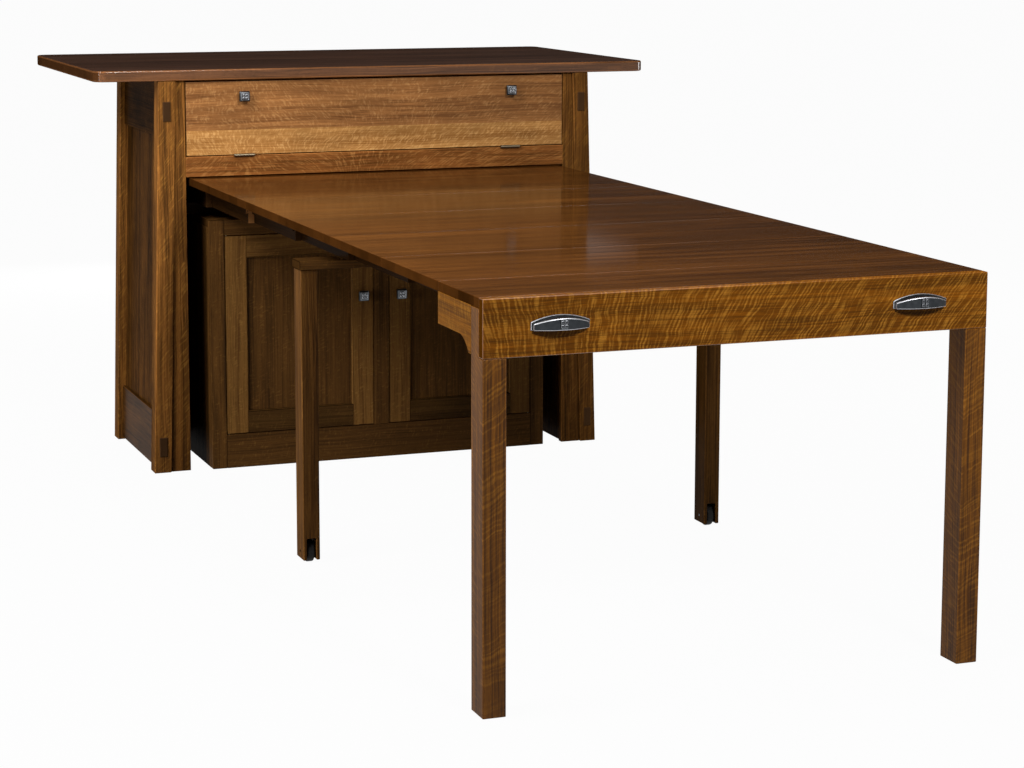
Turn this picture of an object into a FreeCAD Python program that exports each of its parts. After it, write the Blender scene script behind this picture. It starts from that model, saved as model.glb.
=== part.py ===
"""Kitchen island in white oak: a case with a fall-front leaf store, a two-door cabinet and a pull-out leaf table.

X runs to the right, Y from the table's front to the case's back, Z up. The origin lies on the floor, in the
middle of the case's front face.
"""
import FreeCAD
import Part
import os

os.makedirs("parts", exist_ok=True)

# Pull-out table, shown drawn right out
table_width = 1016.0
table_height = 762.0
table_reach = 2188.0
front_board_depth = 238.0
leaf_count = 6
leaf_tail = 138.0
leaf_seam = 0.4
leaf_thickness = 19.0
leaf_seat_gap = 0.3
leaf_edge_round = 2.0
dowel_radius = 4.0
dowel_length = 30.0
dowel_inset = 188.0
apron_height = 107.0
apron_thickness = 20.0
apron_edge_round = 1.5
front_leg_width = 45.0
front_leg_depth = 61.0
leg_edge_round = 2.0
bracket_reach = 241.0
bracket_height = 60.0
bracket_thickness = 20.0
bracket_curve_radius = 60.0
bracket_curve_setback = 126.0

# Rolling legs halfway along the table
mid_leg_setback = 45.0
mid_leg_width = 38.0
mid_leg_depth = 56.0
mid_leg_lift = 8.0
crossbar_thickness = 20.0
crossbar_overhang = 3.0
crossbar_pad_height = 3.0
caster_radius = 25.0
caster_width = 17.0
caster_slot_width = 22.0
caster_slot_height = 49.0
caster_edge_round = 4.0
caster_axle_radius = 3.0

# Telescoping slides, one set of bars at each side
slide_count = 6
slide_back_gap = 6.0
slide_thickness = 15.0
slide_gap = 1.0
slide_height = 60.0
slide_setback = 22.0
slide_leg_clearance = 2.0
tongue_depth = 5.0
tongue_root_height = 10.0
tongue_tip_height = 15.0
tongue_clearance = 0.3

# Case
flap_opening_height = 195.0
case_depth = 500.0
table_side_clearance = 10.0
table_top_clearance = 3.0
stile_top_width = 25.0
stile_thickness = 20.0
post_width = 44.0
post_depth = 48.0
post_proud = 8.0
post_splay = 28.0
post_edge_round = 2.0
front_rail_height = 52.0
side_recess = 12.0
rail_thickness = 20.0
rail_lift = 8.0
bottom_rail_height = 142.0
top_rail_height = 144.0
panel_thickness = 8.0
panel_recess = 9.0
panel_tongue = 8.0
panel_clearance = 0.3
back_mullion_width = 90.0
liner_thickness = 12.0
liner_lift = 4.0
store_floor_thickness = 18.0
stretcher_width = 60.0
stretcher_thickness = 22.0
stretcher_setback = 4.0
tenon_width = 20.0
tenon_height = 50.0
tenon_depth = 12.0
tenon_proud = 2.5
tenon_bevel = 1.5
tenon_clearance = 0.2
lower_tenon_rise = 68.0
upper_tenon_drop = 78.0

# Top slab
slab_end_overhang = 164.0
slab_back_overhang = 314.0
slab_thickness = 28.0
slab_front_overhang = 12.0
slab_corner_radius = 30.0
slab_edge_round = 4.0

# Two-door cabinet inside the case
cabinet_leg_clearance = 2.0
cabinet_proud = 9.0
frame_thickness = 20.0
cabinet_board_thickness = 18.0
cabinet_stile_width = 38.0
cabinet_mullion_width = 42.0
cabinet_top_rail_height = 40.0
cabinet_base_rail_height = 89.0
shelf_height = 340.0
shelf_setback = 30.0
shelf_clearance = 0.3
shelf_pin_radius = 2.5
shelf_pin_length = 20.0
shelf_pin_inset = 60.0
fit_clearance = 0.05
door_gap = 2.0
door_thickness = 20.0
door_frame_width = 59.0
door_panel_recess = 7.0
door_bevel = 3.0
door_pivot_inset = 4.0
door_pivot_radius = 1.5
door_pivot_length = 20.0
bearer_width = 40.0
bearer_height = 30.7
bearer_first = 150.0
bearer_end_margin = 12.0

# Fall flap of the leaf store
flap_thickness = 20.0
flap_gap = 2.0
flap_top_gap = 4.0
flap_lower_board = 64.0
hinge_inset = 153.0
hinge_length = 54.0
hinge_leaf_thickness = 0.8
hinge_leaf_depth = 16.0
hinge_knuckle_radius = 4.0
hinge_pin_radius = 1.6
hinge_face_gap = 0.3
hinge_end_gap = 0.3
hinge_knuckle_share = 0.44

# Knobs and pulls in dark pewter
knob_size = 26.0
knob_head = 12.0
knob_bevel = 3.0
knob_stem_radius = 6.5
knob_stem = 9.0
knob_square = 5.5
knob_square_gap = 2.0
knob_square_height = 0.8
flap_knob_drop = 43.0
door_knob_drop = 172.0
pull_inset = 146.0
pull_drop = 60.0
pull_length = 104.0
pull_end_height = 12.0
pull_mid_height = 22.0
pull_end_reach = 8.0
pull_mid_reach = 22.0
pull_wall = 2.5
pull_plate_length = 112.0
pull_plate_thickness = 2.5
pull_plate_end_height = 14.5
pull_plate_mid_height = 26.0
pull_squares_height = 10.5

# One length by which every cut runs past the face that it opens
overrun = 5.0

# Places worked out from the sizes above
table_half = table_width / 2
table_front = -table_reach
leaf_width = (table_reach + leaf_tail - front_board_depth) / leaf_count
leaf_bottom = table_height - leaf_thickness
apron_bottom = table_height - apron_height
back_face = case_depth - side_recess
back_inside = back_face - rail_thickness
slide_top = leaf_bottom - leaf_seat_gap
slide_bottom = slide_top - slide_height
slide_outer = table_half - front_leg_width - slide_leg_clearance
slide_pitch = slide_thickness + slide_gap
slide_step = table_reach / slide_count
slide_length = back_inside - slide_back_gap - slide_setback
crossbar_top = slide_bottom - crossbar_pad_height
crossbar_bottom = crossbar_top - crossbar_thickness
mid_leg_front = slide_setback - slide_step * (slide_count // 2) + mid_leg_setback
opening_half = table_half + table_side_clearance
front_rail_bottom = table_height + table_top_clearance
front_rail_top = front_rail_bottom + front_rail_height
case_height = front_rail_top + flap_opening_height
top_rail_bottom = case_height - top_rail_height
bottom_rail_top = rail_lift + bottom_rail_height
slab_front = -slab_front_overhang
cabinet_half = table_half - front_leg_width - cabinet_leg_clearance
cabinet_height = slide_bottom - bearer_height
cabinet_face = -cabinet_proud
cabinet_inside = cabinet_face + frame_thickness
door_side = cabinet_half - cabinet_stile_width - door_gap
door_middle = cabinet_mullion_width / 2 + door_gap
door_bottom = cabinet_base_rail_height + door_gap
door_top = cabinet_height - cabinet_top_rail_height - door_gap
flap_bottom = front_rail_top + flap_gap
flap_top = case_height - flap_top_gap
flap_axis_y = -hinge_knuckle_radius - hinge_face_gap
flap_axis_z = front_rail_top + flap_gap / 2

ORIGIN = FreeCAD.Vector(0, 0, 0)
ALONG_X = FreeCAD.Vector(1, 0, 0)
ALONG_Y = FreeCAD.Vector(0, 1, 0)
ALONG_Z = FreeCAD.Vector(0, 0, 1)
PARALLEL_SHARE = 0.99


def box(x, y, z):
    """Block between the low and the high value of each pair."""
    corner = FreeCAD.Vector(x[0], y[0], z[0])
    return Part.makeBox(x[1] - x[0], y[1] - y[0], z[1] - z[0], corner)


def board_along_y(outline, y):
    """Outline of X and Z points, drawn out along Y."""
    points = [FreeCAD.Vector(px, y[0], pz) for px, pz in outline]
    face = Part.Face(Part.makePolygon(points + points[:1]))
    return face.extrude(ALONG_Y * (y[1] - y[0]))


def rod(radius, start, axis, length):
    """Round bar from a point along an axis."""
    return Part.makeCylinder(radius, length, FreeCAD.Vector(*start), axis)


def other_side(shape):
    """The same piece at the other side of the middle."""
    return shape.mirror(ORIGIN, ALONG_X)


def both_sides(shape):
    return [shape, other_side(shape)]


def runs_along(edge, axis):
    """True if an edge is straight and runs along an axis, within the posts' small lean."""
    first, last = edge.Vertexes[0].Point, edge.Vertexes[-1].Point
    chord = last - first
    if chord.Length < edge.Length * PARALLEL_SHARE:
        return False
    return abs(chord.dot(axis)) > PARALLEL_SHARE * chord.Length


def eased(shape, axis, radius):
    """Rounds every edge that runs along an axis."""
    return shape.makeFillet(radius, [edge for edge in shape.Edges if runs_along(edge, axis)])


def save(node, shapes):
    """Writes one node from the solids of its pieces."""
    solids = [solid for shape in shapes for solid in shape.Solids]
    for solid in solids:
        if not solid.isValid() or solid.Volume <= 0:
            raise ValueError(node + " has a solid that isn't sound")
    shape = solids[0] if len(solids) == 1 else Part.makeCompound(solids)
    shape.exportStep("parts/" + node + ".step")


def post_inner(z):
    """Distance from the middle to a post's inner face, which leans out towards the floor."""
    return opening_half + stile_top_width + post_splay * (1 - z / case_height)


def post_outer(z):
    return post_inner(z) + post_width


def leaning(inset, thickness, z):
    """Outline of a board that leans with the posts, set in from their outer face."""
    low, high = z
    return [
        (post_outer(low) - inset, low),
        (post_outer(high) - inset, high),
        (post_outer(high) - inset - thickness, high),
        (post_outer(low) - inset - thickness, low),
    ]


def between_posts(z, half_gap):
    """Outline of a board from a distance off the middle to a post's inner face."""
    low, high = z
    return [(half_gap, low), (post_inner(low), low), (post_inner(high), high), (half_gap, high)]


# Top slab
def make_top_slab():
    half = post_outer(case_height) + slab_end_overhang
    x = (-half, half)
    y = (slab_front, case_depth + slab_back_overhang)
    slab = eased(box(x, y, (case_height, case_height + slab_thickness)), ALONG_Z, slab_corner_radius)
    rims = [edge for edge in slab.Edges if edge.BoundBox.ZLength < slab_edge_round]
    save("top_slab", [slab.makeFillet(slab_edge_round, rims)])


# Splayed corner posts with the ends of the side rails' tenons showing
def side_panel(clearance):
    """Right side panel, or with a clearance the groove that takes it."""
    grown = panel_tongue + clearance
    z = (bottom_rail_top - grown, top_rail_bottom + grown)
    y = (post_depth - post_proud - grown, case_depth - post_depth + grown)
    inset = side_recess + panel_recess - clearance
    return board_along_y(leaning(inset, panel_thickness + clearance * 2, z), y)


def back_panel(clearance):
    """Right back panel, or with a clearance its groove."""
    grown = panel_tongue + clearance
    z = (bottom_rail_top - grown, top_rail_bottom + grown)
    outline = between_posts(z, back_mullion_width / 2 - grown)
    outline[1] = (outline[1][0] + grown, outline[1][1])
    outline[2] = (outline[2][0] + grown, outline[2][1])
    face = back_face - panel_recess + clearance
    return board_along_y(outline, (face - panel_thickness - clearance * 2, face))


def tenon_middle(z):
    return (post_inner(z) + post_outer(z)) / 2


def tenon_block(z, face, outward, clearance):
    """End of a tenon in a post, or with a clearance its mortise. Outward is the way that the face looks."""
    half = tenon_width / 2 + clearance
    tall = tenon_height / 2 + clearance
    inner = face - outward * tenon_depth
    outer = face + outward * (overrun if clearance else tenon_proud)
    x = (tenon_middle(z) - half, tenon_middle(z) + half)
    block = box(x, (min(inner, outer), max(inner, outer)), (z - tall, z + tall))
    if clearance:
        return block
    rims = [edge for edge in block.Edges if abs(edge.CenterOfMass.y - outer) < tenon_bevel / 2]
    return block.makeChamfer(tenon_bevel, rims)


def make_posts():
    front_face = -post_proud
    places = {
        "front_post": (front_face, front_face + post_depth, front_face, -1),
        "back_post": (case_depth - post_depth, case_depth, case_depth, 1),
    }
    blocks = []
    for name, (low, high, face, outward) in places.items():
        post = board_along_y(leaning(0, post_width, (0, case_height)), (low, high))
        post = eased(post, ALONG_Z, post_edge_round).cut(side_panel(panel_clearance))
        post = post.cut(back_panel(panel_clearance))
        for z in (lower_tenon_rise, case_height - upper_tenon_drop):
            post = post.cut(tenon_block(z, face, outward, tenon_clearance))
            blocks += both_sides(tenon_block(z, face, outward, 0))
        save(name + "_right", [post])
        save(name + "_left", [other_side(post)])
    save("through_tenons", blocks)


# Frame-and-panel sides, and the inner lining that the table's legs pass
def make_sides():
    y = (post_depth - post_proud, case_depth - post_depth)
    groove = side_panel(panel_clearance)
    rails = {"side_top_rails": (top_rail_bottom, case_height), "side_bottom_rails": (rail_lift, bottom_rail_top)}
    for name, z in rails.items():
        rail = board_along_y(leaning(side_recess, rail_thickness, z), y).cut(groove)
        save(name, both_sides(rail))
    save("side_panels", both_sides(side_panel(0)))
    x = (opening_half, opening_half + liner_thickness)
    liner = box(x, (stile_thickness, back_inside), (liner_lift, case_height))
    save("side_liners", both_sides(liner))


# Back frame with two panels
def make_back():
    y = (back_inside, back_face)
    grooves = both_sides(back_panel(panel_clearance))
    pieces = []
    for z in ((rail_lift, bottom_rail_top), (top_rail_bottom, case_height)):
        half = board_along_y(between_posts(z, 0), y)
        pieces.append(half.fuse(other_side(half)).removeSplitter())
    half_width = back_mullion_width / 2
    pieces.append(box((-half_width, half_width), y, (bottom_rail_top, top_rail_bottom)))
    for groove in grooves:
        pieces = [piece.cut(groove) for piece in pieces]
    save("back_frame", pieces)
    save("back_panels", both_sides(back_panel(0)))


# Face frame, leaf store and slab stretchers
def make_front():
    stile = board_along_y(between_posts((0, case_height), opening_half), (0, stile_thickness))
    save("front_stile_right", [stile])
    save("front_stile_left", [other_side(stile)])
    span = (-opening_half, opening_half)
    rail = box(span, (0, stile_thickness), (front_rail_bottom, front_rail_top))
    save("front_rail", [eased(rail, ALONG_X, apron_edge_round)])
    floor_top = front_rail_bottom + store_floor_thickness
    save("store_floor", [box(span, (stile_thickness, back_inside), (front_rail_bottom, floor_top))])
    front = flap_thickness + stretcher_setback
    places = ((front, front + stretcher_width), (back_inside - stretcher_width, back_inside))
    z = (case_height - stretcher_thickness, case_height)
    save("slab_stretchers", [box(span, y, z) for y in places])


# Square knob and bow pull
def squares(size, gap, height, middle_z, face):
    """Four small raised squares round a point on a face that looks forward."""
    raised = []
    for side in (-1, 1):
        for level in (-1, 1):
            x = side * (size + gap) / 2
            z = middle_z + level * (size + gap) / 2
            half = size / 2
            raised.append(box((x - half, x + half), (face - height, face + height), (z - half, z + half)))
    return raised


def knob(x, face, z):
    """Square knob on a round stem, standing out of a face that looks forward."""
    back = face - knob_stem
    front = back - knob_head
    half = knob_size / 2
    head = box((-half, half), (front, back), (z - half, z + half))
    rims = [edge for edge in head.Edges if abs(edge.CenterOfMass.y - front) < knob_bevel / 2]
    head = head.makeChamfer(knob_bevel, rims)
    stem = rod(knob_stem_radius, (0, back, z), ALONG_Y, knob_stem)
    shape = head.fuse([stem] + squares(knob_square, knob_square_gap, knob_square_height, z, front))
    return shape.translated(FreeCAD.Vector(x, 0, 0))


def arched(length, end_height, mid_height, base, y):
    """Plate with a straight foot and an arched top, drawn out along Y."""
    half = length / 2
    left, right = FreeCAD.Vector(-half, y[0], base), FreeCAD.Vector(half, y[0], base)
    left_top = FreeCAD.Vector(-half, y[0], base + end_height)
    right_top = FreeCAD.Vector(half, y[0], base + end_height)
    crown = FreeCAD.Vector(0, y[0], base + mid_height)
    arch = Part.Arc(right_top, crown, left_top).toShape()
    edges = [Part.makeLine(left, right), Part.makeLine(right, right_top), arch, Part.makeLine(left_top, left)]
    return Part.Face(Part.Wire(edges)).extrude(ALONG_Y * (y[1] - y[0]))


def bowed(length, end_reach, mid_reach, face, z):
    """Block with a flat back and a bowed front, drawn out along Z."""
    half = length / 2
    left, right = FreeCAD.Vector(-half, face, z[0]), FreeCAD.Vector(half, face, z[0])
    left_front = FreeCAD.Vector(-half, face - end_reach, z[0])
    right_front = FreeCAD.Vector(half, face - end_reach, z[0])
    crown = FreeCAD.Vector(0, face - mid_reach, z[0])
    bow = Part.Arc(left_front, crown, right_front).toShape()
    edges = [Part.makeLine(left, left_front), bow, Part.makeLine(right_front, right), Part.makeLine(right, left)]
    return Part.Face(Part.Wire(edges)).extrude(ALONG_Z * (z[1] - z[0]))


def bow_pull(x, face):
    """Hollow pull with an arched top, a bowed front and an open foot, on a thin arched plate."""
    base = table_height - pull_drop
    reach = (face - pull_mid_reach - overrun, face)
    z = (base, base + pull_mid_height)
    body = arched(pull_length, pull_end_height, pull_mid_height, base, reach)
    body = body.common(bowed(pull_length, pull_end_reach, pull_mid_reach, face, z))
    inner_length = pull_length - pull_wall * 2
    hollow = arched(inner_length, pull_end_height - pull_wall, pull_mid_height - pull_wall, base, reach)
    room = (base - overrun, base + pull_mid_height)
    inner_reach = (pull_end_reach - pull_wall, pull_mid_reach - pull_wall)
    hollow = hollow.fuse(box((-inner_length / 2, inner_length / 2), reach, (base - overrun, base)))
    hollow = hollow.common(bowed(inner_length, inner_reach[0], inner_reach[1], face, room))
    plate_y = (face - pull_plate_thickness, face)
    plate = arched(pull_plate_length, pull_plate_end_height, pull_plate_mid_height, base, plate_y)
    middle = base + pull_squares_height
    raised = squares(knob_square, knob_square_gap, knob_square_height, middle, face - pull_mid_reach)
    shape = body.cut(hollow).fuse([plate] + raised)
    return shape.translated(FreeCAD.Vector(x, 0, 0))


# Fall flap of two glued boards, on two butt hinges
def make_flap():
    half = opening_half - flap_gap
    seam = flap_bottom + flap_lower_board
    y = (0, flap_thickness)
    boards = [box((-half, half), y, (flap_bottom, seam)), box((-half, half), y, (seam, flap_top))]
    save("flap_boards", boards)
    knob_x = opening_half - hinge_inset
    save("flap_knobs", both_sides(knob(knob_x, 0, case_height - flap_knob_drop)))


def knuckle(x0, length):
    """Barrel of a hinge with its bore."""
    start = (x0, flap_axis_y, flap_axis_z)
    barrel = rod(hinge_knuckle_radius, start, ALONG_X, length)
    return barrel.cut(rod(hinge_pin_radius + fit_clearance, start, ALONG_X, length))


def hinge_leaf(x, z):
    """Flat leaf from a barrel's wall back under or over its board."""
    leaf = box(x, (flap_axis_y, hinge_leaf_depth), z)
    start = (x[0], flap_axis_y, flap_axis_z)
    return leaf.cut(rod(hinge_pin_radius + fit_clearance, start, ALONG_X, x[1] - x[0]))


def make_flap_hinges():
    middle = opening_half - hinge_inset
    ends = (middle - hinge_length / 2, middle + hinge_length / 2)
    moving_half = hinge_length * hinge_knuckle_share / 2
    moving = (middle - moving_half, middle + moving_half)
    fixed = ((ends[0], moving[0] - hinge_end_gap), (moving[1] + hinge_end_gap, ends[1]))
    low = (front_rail_top, front_rail_top + hinge_leaf_thickness)
    high = (flap_bottom - hinge_leaf_thickness, flap_bottom)
    plate = box(ends, (0, hinge_leaf_depth), low)
    for x in fixed:
        plate = plate.fuse([knuckle(x[0], x[1] - x[0]), hinge_leaf(x, low)])
    save("flap_hinge_plates", both_sides(plate.removeSplitter()))
    leaf = box(ends, (0, hinge_leaf_depth), high)
    leaf = leaf.fuse([knuckle(moving[0], moving[1] - moving[0]), hinge_leaf(moving, high)])
    save("flap_hinge_leaves", both_sides(leaf.removeSplitter()))
    pin = rod(hinge_pin_radius, (ends[0], flap_axis_y, flap_axis_z), ALONG_X, hinge_length)
    save("flap_hinge_pins", both_sides(pin))


# Two-door cabinet: carcass, face frame and shelf
def make_cabinet():
    inner = cabinet_half - cabinet_board_thickness
    y = (cabinet_inside, back_inside)
    under_top = cabinet_height - cabinet_board_thickness
    pin_z = shelf_height - shelf_pin_radius
    side = box((inner, cabinet_half), y, (0, under_top))
    pins = []
    for pin_y in (cabinet_inside + shelf_pin_inset, back_inside - shelf_pin_inset):
        start = (inner - shelf_pin_length / 2, pin_y, pin_z)
        pins.append(rod(shelf_pin_radius, start, ALONG_X, shelf_pin_length))
        side = side.cut(rod(shelf_pin_radius + fit_clearance, start, ALONG_X, shelf_pin_length + fit_clearance))
    save("cabinet_sides", both_sides(side))
    save("shelf_pins", [piece for pin in pins for piece in both_sides(pin)])
    save("cabinet_top", [box((-cabinet_half, cabinet_half), y, (under_top, cabinet_height))])
    floor = (cabinet_base_rail_height - cabinet_board_thickness, cabinet_base_rail_height)
    save("cabinet_bottom", [box((-inner, inner), y, floor)])
    shelf_half = inner - shelf_clearance
    shelf_y = (cabinet_inside + shelf_setback, back_inside - shelf_clearance)
    shelf_z = (shelf_height, shelf_height + cabinet_board_thickness)
    save("cabinet_shelf", [box((-shelf_half, shelf_half), shelf_y, shelf_z)])


def door_pivot_bores():
    """Bores for the doors' four pivot pins."""
    x = door_side - door_pivot_inset
    y = cabinet_face + door_pivot_inset
    bores = []
    for z in (door_bottom - door_gap / 2, door_top + door_gap / 2):
        start = (x, y, z - door_pivot_length / 2 - fit_clearance)
        length = door_pivot_length + fit_clearance * 2
        bores += both_sides(rod(door_pivot_radius + fit_clearance, start, ALONG_Z, length))
    return bores


def make_cabinet_frame():
    y = (cabinet_face, cabinet_inside)
    side_x = (cabinet_half - cabinet_stile_width, cabinet_half)
    rail_half = cabinet_half - cabinet_stile_width
    mullion = (-cabinet_mullion_width / 2, cabinet_mullion_width / 2)
    top_rail = (cabinet_height - cabinet_top_rail_height, cabinet_height)
    base_rail = (0, cabinet_base_rail_height)
    stile = eased(box(side_x, y, (0, cabinet_height)), ALONG_Z, apron_edge_round)
    save("cabinet_stiles", both_sides(stile))
    save("cabinet_mullion", [box(mullion, y, (base_rail[1], top_rail[0]))])
    rails = [box((-rail_half, rail_half), y, z) for z in (base_rail, top_rail)]
    for bore in door_pivot_bores():
        rails = [rail.cut(bore) for rail in rails]
    save("cabinet_rails", rails)


def make_door_pivots():
    x = door_side - door_pivot_inset
    y = cabinet_face + door_pivot_inset
    pins = []
    for z in (door_bottom - door_gap / 2, door_top + door_gap / 2):
        start = (x, y, z - door_pivot_length / 2)
        pins += both_sides(rod(door_pivot_radius, start, ALONG_Z, door_pivot_length))
    save("door_pivots", pins)


# Doors: frames of two stiles and two rails round a flat panel
def bevelled_opening(x, z):
    """Cutter that bevels the front edges of a frame round its opening."""
    rings = []
    for grown, y in ((door_bevel, cabinet_face), (0, cabinet_face + door_bevel)):
        low_x, high_x = x[0] - grown, x[1] + grown
        low_z, high_z = z[0] - grown, z[1] + grown
        corners = [(low_x, low_z), (high_x, low_z), (high_x, high_z), (low_x, high_z), (low_x, low_z)]
        rings.append(Part.makePolygon([FreeCAD.Vector(px, y, pz) for px, pz in corners]))
    return Part.makeLoft(rings, True, True)


def door_panel(x, z, clearance):
    """Flat panel of a door, or with a clearance its groove."""
    grown = panel_tongue + clearance
    face = cabinet_face + door_panel_recess - clearance
    y = (face, face + panel_thickness + clearance * 2)
    return box((x[0] - grown, x[1] + grown), y, (z[0] - grown, z[1] + grown))


def make_doors():
    y = (cabinet_face, cabinet_face + door_thickness)
    opening_x = (door_middle + door_frame_width, door_side - door_frame_width)
    opening_z = (door_bottom + door_frame_width, door_top - door_frame_width)
    pieces = [
        box((door_middle, opening_x[0]), y, (door_bottom, door_top)),
        box((opening_x[1], door_side), y, (door_bottom, door_top)),
        box(opening_x, y, (door_bottom, opening_z[0])),
        box(opening_x, y, (opening_z[1], door_top)),
    ]
    cutters = [bevelled_opening(opening_x, opening_z), door_panel(opening_x, opening_z, panel_clearance)]
    for cutter in cutters + door_pivot_bores():
        pieces = [piece.cut(cutter) for piece in pieces]
    panel = door_panel(opening_x, opening_z, 0)
    handle = knob(door_middle + door_frame_width / 2, cabinet_face, door_top - door_knob_drop)
    save("right_door_frame", pieces)
    save("left_door_frame", [other_side(piece) for piece in pieces])
    save("right_door_panel", [panel])
    save("left_door_panel", [other_side(panel)])
    save("right_door_knob", [handle])
    save("left_door_knob", [other_side(handle)])


# Table's front end: apron, legs, brackets and the board that is fixed to them
def make_apron():
    y = (table_front, table_front + apron_thickness)
    apron = box((-table_half, table_half), y, (apron_bottom, table_height))
    rims = [edge for edge in apron.Edges if abs(edge.CenterOfMass.y - table_front) < apron_edge_round / 2]
    save("apron", [apron.makeFillet(apron_edge_round, rims)])
    pull = bow_pull(table_half - pull_inset, table_front)
    save("pull_right", [pull])
    save("pull_left", [other_side(pull)])


def make_front_legs():
    x = (table_half - front_leg_width, table_half)
    y = (table_front, table_front + front_leg_depth)
    leg = eased(box(x, y, (0, leaf_bottom)), ALONG_Z, leg_edge_round)
    lap_x = (x[0] - overrun, x[1] + overrun)
    lap = box(lap_x, (table_front - overrun, table_front + apron_thickness), (apron_bottom, leaf_bottom + overrun))
    leg = leg.cut(lap)
    save("front_leg_right", [leg])
    save("front_leg_left", [other_side(leg)])


def make_brackets():
    """Curved brackets behind the front legs, flush with the legs' outer faces."""
    leg_back = table_front + front_leg_depth
    end = table_front + bracket_reach
    foot = leaf_bottom - bracket_height
    x = table_half - bracket_thickness
    curve_y = table_front + bracket_curve_setback
    curve_z = foot - bracket_curve_radius
    drop = apron_bottom - curve_z
    tip_y = curve_y - (bracket_curve_radius ** 2 - drop ** 2) ** 0.5
    bend_share = 0.5 ** 0.5
    bend_z = (foot + apron_bottom) / 2
    bend_y = curve_y - (bracket_curve_radius ** 2 - (bend_z - curve_z) ** 2) ** 0.5
    places = [(leg_back, leaf_bottom), (end, leaf_bottom), (end, foot), (curve_y, foot)]
    points = [FreeCAD.Vector(x, py, pz) for py, pz in places]
    bend, tip = FreeCAD.Vector(x, bend_y, bend_z), FreeCAD.Vector(x, tip_y, apron_bottom)
    heel = FreeCAD.Vector(x, leg_back, apron_bottom)
    edges = [Part.makeLine(a, b) for a, b in zip(points, points[1:])]
    edges += [Part.Arc(points[-1], bend, tip).toShape(), Part.makeLine(tip, heel), Part.makeLine(heel, points[0])]
    bracket = Part.Face(Part.Wire(edges)).extrude(ALONG_X * bracket_thickness)
    save("corner_brackets", both_sides(bracket))


def board_edges():
    """Where the boards of the table top begin and end, front to back."""
    first = table_front + front_board_depth
    return [first + leaf_width * number for number in range(leaf_count + 1)]


def dowel(y, radius, length):
    """Dowel across a seam, on the right."""
    start = (table_half - dowel_inset, y - length / 2, leaf_bottom + leaf_thickness / 2)
    return rod(radius, start, ALONG_Y, length)


def make_table_top():
    """Fixed front board and loose leaves, lined up by dowels in their edges."""
    seams = board_edges()
    starts = [table_front + apron_thickness] + [seam + leaf_seam / 2 for seam in seams[:-1]]
    ends = [seam - leaf_seam / 2 for seam in seams[:-1]] + [seams[-1]]
    span = (-table_half, table_half)
    boards = [eased(box(span, y, (leaf_bottom, table_height)), ALONG_Y, leaf_edge_round) for y in zip(starts, ends)]
    dowels = []
    for seam in seams[:-1]:
        dowels += both_sides(dowel(seam, dowel_radius, dowel_length))
        for hole in both_sides(dowel(seam, dowel_radius + fit_clearance, dowel_length + fit_clearance * 2)):
            boards = [board.cut(hole) for board in boards]
    save("front_board", boards[:1])
    save("leaves", boards[1:])
    save("leaf_dowels", dowels)


# Rolling legs under the middle of the table
def slide_side(number):
    """Outer and inner side of a slide bar, as distances from the middle."""
    outer = slide_outer - slide_pitch * number
    return outer - slide_thickness, outer


def make_mid_frame():
    leg_x = (table_half - mid_leg_width, table_half)
    leg_y = (mid_leg_front, mid_leg_front + mid_leg_depth)
    middle_x = (leg_x[0] + leg_x[1]) / 2
    middle_y = (leg_y[0] + leg_y[1]) / 2
    half_slot = caster_slot_width / 2
    axle_start = (leg_x[0], middle_y, caster_radius)
    leg = eased(box(leg_x, leg_y, (mid_leg_lift, crossbar_bottom)), ALONG_Z, leg_edge_round)
    slot_z = (mid_leg_lift - overrun, mid_leg_lift + caster_slot_height)
    slot_y = (leg_y[0] - overrun, leg_y[1] + overrun)
    leg = leg.cut(box((middle_x - half_slot, middle_x + half_slot), slot_y, slot_z))
    leg = leg.cut(rod(caster_axle_radius + fit_clearance, axle_start, ALONG_X, mid_leg_width))
    save("mid_leg_right", [leg])
    save("mid_leg_left", [other_side(leg)])
    bar_half = table_half + crossbar_overhang
    bar_y = (leg_y[0] - crossbar_overhang, leg_y[1] + crossbar_overhang)
    bar = box((-bar_half, bar_half), bar_y, (crossbar_bottom, crossbar_top))
    pad_x = slide_side(slide_count // 2)
    pads = both_sides(box(pad_x, bar_y, (crossbar_top, slide_bottom)))
    save("crossbar", [eased(bar, ALONG_X, leg_edge_round).fuse(pads).removeSplitter()])
    axle = rod(caster_axle_radius, axle_start, ALONG_X, mid_leg_width)
    save("caster_axles", both_sides(axle))
    wheel_start = (middle_x - caster_width / 2, middle_y, caster_radius)
    wheel = rod(caster_radius, wheel_start, ALONG_X, caster_width)
    wheel = wheel.makeFillet(caster_edge_round, [edge for edge in wheel.Edges if not runs_along(edge, ALONG_X)])
    wheel = wheel.cut(rod(caster_axle_radius + fit_clearance, wheel_start, ALONG_X, caster_width))
    save("caster_right", [wheel])
    save("caster_left", [other_side(wheel)])


# Telescoping slides: each bar's tongue runs in the groove of the bar outside it
def tongue_outline(face, clearance):
    """Dovetail tongue that points outwards, or with a clearance the groove for it."""
    middle = (slide_top + slide_bottom) / 2
    root = tongue_root_height / 2 + clearance
    tip = tongue_tip_height / 2 + clearance
    end = face + slide_gap + tongue_depth + clearance
    return [(face, middle - root), (end, middle - tip), (end, middle + tip), (face, middle + root)]


def slide_bar(number):
    """Right-hand bar of a slide, drawn out by its share of the table's reach."""
    front = slide_setback - slide_step * number
    y = (front, front + slide_length)
    inner, outer = slide_side(number)
    bar = box((inner, outer), y, (slide_bottom, slide_top))
    if number:
        bar = bar.fuse(board_along_y(tongue_outline(outer, 0), y)).removeSplitter()
    if number < slide_count:
        past = (y[0] - overrun, y[1] + overrun)
        bar = bar.cut(board_along_y(tongue_outline(inner - slide_gap, tongue_clearance), past))
    return bar


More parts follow.
